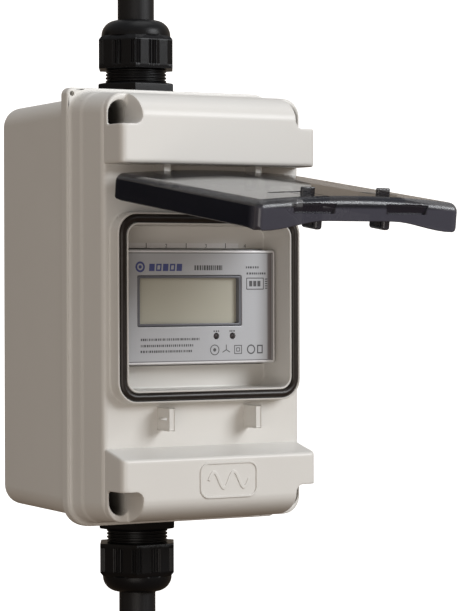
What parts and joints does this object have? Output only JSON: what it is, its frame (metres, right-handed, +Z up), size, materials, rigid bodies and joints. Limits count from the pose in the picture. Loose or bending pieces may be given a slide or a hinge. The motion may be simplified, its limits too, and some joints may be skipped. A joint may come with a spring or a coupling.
{
  "type": "wall-mounted electricity meter in enclosure",
  "caption": "Weatherproof wall box holding a rail-mounted electricity meter behind a hinged smoked window cover, with a cable gland above and below.",
  "frame": {"origin": "centre of the rear face, which lies against the wall", "axes": "+Z up, -Y out of the wall through the window, +X to the right seen from the front"},
  "size_m": [0.095, 0.1946, 0.2792],
  "materials": {
    "enclosure_plastic": "fine satin grain, light warm grey",
    "smoked_plastic": "polished, smoked, see-through",
    "seal_rubber": "smooth, slightly glossy",
    "gland_nylon": "satin black",
    "cable_sheath": "matt black",
    "core_brown": "satin",
    "core_black": "satin",
    "core_grey": "satin",
    "core_blue": "satin",
    "core_green_yellow": "satin, green with a yellow stripe",
    "screw_plastic": "satin grey",
    "zinc_steel": "zinc plated",
    "meter_plastic": "fine grain",
    "panel_silver": "silver-grey printed film",
    "display_glass": "clear window over a grey-green display",
    "board_green": "solder mask",
    "led_lens": "tinted lens",
    "copper": "bare copper",
    "transformer_case": "moulded",
    "brass": "machined",
    "clip_plastic": "moulded"
  },
  "bodies": {
    "enclosure": {"rear_base": "enclosure_plastic", "front_cover": "enclosure_plastic", "lid_seal": "seal_rubber", "window_seal": "seal_rubber", "din_rail": "zinc_steel", "rail_screw_left": "zinc_steel", "rail_screw_right": "zinc_steel", "earth_terminal": "brass", "gland_body_top": "gland_nylon", "gland_cap_top": "gland_nylon", "gland_locknut_top": "gland_nylon", "gland_o_ring_top": "seal_rubber", "gland_insert_top": "seal_rubber", "cable_sheath_top": "cable_sheath", "core_brown_top": "core_brown", "core_black_top": "core_black", "core_grey_top": "core_grey", "core_blue_top": "core_blue", "core_green_yellow_top": "core_green_yellow", "gland_body_bottom": "gland_nylon", "gland_cap_bottom": "gland_nylon", "gland_locknut_bottom": "gland_nylon", "gland_o_ring_bottom": "seal_rubber", "gland_insert_bottom": "seal_rubber", "cable_sheath_bottom": "cable_sheath", "core_brown_bottom": "core_brown", "core_black_bottom": "core_black", "core_grey_bottom": "core_grey", "core_blue_bottom": "core_blue", "core_green_yellow_bottom": "core_green_yellow", "meter_case_rear": "meter_plastic", "meter_case_front": "meter_plastic", "meter_front_panel": "panel_silver", "meter_display": "display_glass", "meter_circuit_board": "board_green", "status_led_left": "led_lens", "status_led_right": "led_lens", "busbar_l1": "copper", "terminal_screw_l1_in": "zinc_steel", "terminal_screw_l1_out": "zinc_steel", "current_transformer_l1": "transformer_case", "busbar_l2": "copper", "terminal_screw_l2_in": "zinc_steel", "terminal_screw_l2_out": "zinc_steel", "current_transformer_l2": "transformer_case", "busbar_l3": "copper", "terminal_screw_l3_in": "zinc_steel", "terminal_screw_l3_out": "zinc_steel", "current_transformer_l3": "transformer_case", "busbar_n": "copper", "terminal_screw_n_in": "zinc_steel", "terminal_screw_n_out": "zinc_steel"},
    "cover": {"window_cover": "smoked_plastic"},
    "left_latch": {"cover_latch_left": "smoked_plastic"},
    "right_latch": {"cover_latch_right": "smoked_plastic"},
    "rail_clip": {"meter_rail_clip": "clip_plastic"},
    "screw_top_left": {"lid_screw_top_left": "screw_plastic"},
    "screw_top_right": {"lid_screw_top_right": "screw_plastic"},
    "screw_bottom_left": {"lid_screw_bottom_left": "screw_plastic"},
    "screw_bottom_right": {"lid_screw_bottom_right": "screw_plastic"}
  },
  "joints": [
    {"name": "cover_hinge", "type": "hinge", "parent": "enclosure", "child": "cover", "pos_m": [0, -0.093, 0.0481], "axis": [-1, 0, 0], "range_deg": [-82.7, 22]},
    {"name": "left_latch_flex", "type": "hinge", "parent": "cover", "child": "left_latch", "pos_m": [0, -0.1922, 0.0386], "axis": [1, 0, 0], "range_deg": [0, 5], "stiffness_Nm_per_rad": 0.6},
    {"name": "right_latch_flex", "type": "hinge", "parent": "cover", "child": "right_latch", "pos_m": [0, -0.1922, 0.0386], "axis": [1, 0, 0], "range_deg": [0, 5], "stiffness_Nm_per_rad": 0.6},
    {"name": "screw_turn_top_left", "type": "hinge", "parent": "enclosure", "child": "screw_top_left", "pos_m": [-0.0386, -0.066, 0.0742], "axis": [0, -1, 0], "range_deg": [0, 90]},
    {"name": "screw_turn_top_right", "type": "hinge", "parent": "enclosure", "child": "screw_top_right", "pos_m": [0.0386, -0.066, 0.0742], "axis": [0, -1, 0], "range_deg": [0, 90]},
    {"name": "screw_turn_bottom_left", "type": "hinge", "parent": "enclosure", "child": "screw_bottom_left", "pos_m": [-0.0386, -0.066, -0.0742], "axis": [0, -1, 0], "range_deg": [0, 90]},
    {"name": "screw_turn_bottom_right", "type": "hinge", "parent": "enclosure", "child": "screw_bottom_right", "pos_m": [0.0386, -0.066, -0.0742], "axis": [0, -1, 0], "range_deg": [0, 90]},
    {"name": "rail_clip_slide", "type": "slide", "parent": "enclosure", "child": "rail_clip", "axis": [0, 0, -1], "range_m": [0, 0.005], "stiffness_N_per_m": 800}
  ]
}
